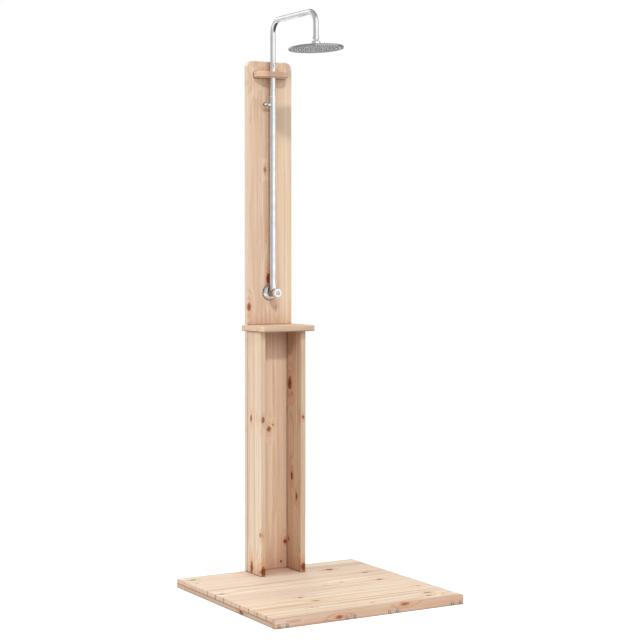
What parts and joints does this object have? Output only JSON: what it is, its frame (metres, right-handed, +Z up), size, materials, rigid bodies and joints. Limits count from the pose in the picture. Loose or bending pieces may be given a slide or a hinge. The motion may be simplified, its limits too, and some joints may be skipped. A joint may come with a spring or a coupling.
{
  "type": "outdoor shower post",
  "caption": "Free-standing pine outdoor shower with a square deck, a tall back board with shelf, and a chrome telescopic pipe, valve knob and flat rain head.",
  "frame": {"origin": "on the ground, under the middle of the whole object; the deck centre is 10.5 mm in front of it", "axes": "+X to the right along the deck front edge, +Y to the back where the tall board stands, +Z up"},
  "size_m": [0.7, 0.7268, 1.9585],
  "materials": {
    "pine": "planed, unfinished pine with knots",
    "zinc_steel": "bright zinc plated",
    "chrome": "polished chrome plate",
    "brass": "machined",
    "ceramic": "lapped",
    "seal_rubber": "smooth black",
    "bearing_plastic": "natural acetal",
    "grey_plate": "satin grey",
    "nozzle_silicone": "soft grey silicone"
  },
  "bodies": {
    "stand": {"deck_panel_rear": "pine", "deck_panel_middle": "pine", "deck_panel_front": "pine", "front_fascia": "pine", "rear_rail": "pine", "joist_left": "pine", "joist_mid_left": "pine", "joist_mid_right": "pine", "joist_right": "pine", "tall_board": "pine", "side_board_left": "pine", "side_board_right": "pine", "shelf": "pine", "pipe_block": "pine", "fascia_screws": "zinc_steel", "deck_screws": "zinc_steel", "column_screws": "zinc_steel", "side_board_screws": "zinc_steel", "shelf_screws": "zinc_steel", "block_screws": "zinc_steel", "foot_plate_left": "zinc_steel", "foot_plate_right": "zinc_steel", "foot_bolts": "zinc_steel", "foot_nuts": "zinc_steel", "foot_screws": "zinc_steel", "escutcheon": "chrome", "valve_body": "chrome", "valve_bonnet": "chrome", "riser_tube": "chrome", "inlet_tail": "brass", "inlet_backnut": "brass", "valve_cartridge": "brass", "ceramic_disc_fixed": "ceramic", "valve_seat_seal": "seal_rubber", "spindle_oring": "seal_rubber", "riser_oring": "seal_rubber", "inlet_washer": "seal_rubber", "riser_bush": "bearing_plastic"},
    "valve_control": {"valve_knob": "chrome", "knob_screw": "zinc_steel", "knob_cap": "chrome", "valve_spindle": "brass", "ceramic_disc_moving": "ceramic"},
    "clamp_plug": {"clamp_pad": "bearing_plastic"},
    "clamp_screw": {"thumbscrew": "chrome"},
    "arm_slider": {"arm_guide": "bearing_plastic", "arm_orings": "seal_rubber"},
    "shower_arm": {"arm_tube": "chrome", "ball_fitting": "chrome"},
    "socket_liner_low": {"ball_liner_lower": "bearing_plastic"},
    "socket_liner_high": {"ball_liner_upper": "bearing_plastic"},
    "rain_head": {"ball_nut": "chrome", "head_hub": "chrome", "head_shell": "chrome", "head_gasket": "seal_rubber", "nozzle_plate": "grey_plate", "nozzles": "nozzle_silicone"}
  },
  "joints": [
    {"name": "valve_turn", "type": "hinge", "parent": "stand", "child": "valve_control", "pos_m": [0, 0.2765, 1.004], "axis": [0, -1, 0], "range_deg": [0, 90]},
    {"name": "clamp_travel", "type": "slide", "parent": "stand", "child": "clamp_plug", "axis": [-1, 0, 0], "range_m": [0, 0.0015]},
    {"name": "clamp_screw_turn", "type": "hinge", "parent": "clamp_plug", "child": "clamp_screw", "pos_m": [-0.02984, 0.2955, 1.6585], "axis": [-1, 0, 0], "range_deg": [0, 540]},
    {"name": "arm_height", "type": "slide", "parent": "stand", "child": "arm_slider", "axis": [0, 0, 1], "range_m": [-0.12, 0.25]},
    {"name": "arm_swivel", "type": "hinge", "parent": "arm_slider", "child": "shower_arm", "pos_m": [0, 0.2955, 1.307], "axis": [0, 0, 1], "continuous": true},
    {"name": "head_tilt_front", "type": "hinge", "parent": "shower_arm", "child": "socket_liner_low", "pos_m": [0, -0.0035, 1.8405], "axis": [1, 0, 0], "range_deg": [-10, 10]},
    {"name": "head_tilt_side", "type": "hinge", "parent": "socket_liner_low", "child": "socket_liner_high", "pos_m": [0, -0.0035, 1.8405], "axis": [0, 1, 0], "range_deg": [-10, 10]},
    {"name": "head_spin", "type": "hinge", "parent": "socket_liner_high", "child": "rain_head", "pos_m": [0, -0.0035, 1.8405], "axis": [-0.0244, 0.0419, 0.9988], "continuous": true}
  ],
  "couplings": [
    {"joint": "clamp_travel", "follows": "clamp_screw_turn", "m_per_rad": 0.00015915}
  ]
}
